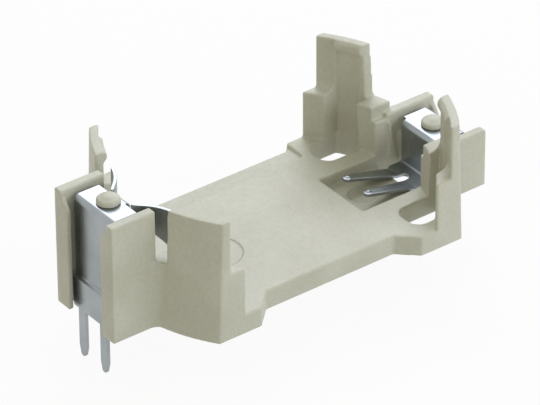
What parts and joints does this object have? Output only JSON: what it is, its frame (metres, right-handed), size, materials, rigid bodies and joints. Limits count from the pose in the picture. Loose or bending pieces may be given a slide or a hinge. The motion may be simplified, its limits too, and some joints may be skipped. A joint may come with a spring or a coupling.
{
  "type": "coin cell holder",
  "caption": "Through-hole holder for a stepped coin cell: moulded cradle with four snap posts, a sprung side contact and a two-finger bottom contact.",
  "frame": {"origin": "middle of the footprint, on the underside of the floor, which is the board plane", "axes": "+X along the holder towards the negative contact, +Y across it towards the marking strip, +Z away from the board"},
  "size_m": [0.0332, 0.0158, 0.0136],
  "materials": {
    "housing": "matte light grey-beige moulded thermoplastic",
    "contact": "bright tin-plated spring sheet"
  },
  "bodies": {
    "root": {"housing": "housing", "positive_contact": "contact", "negative_contact": "contact"}
  },
  "joints": []
}
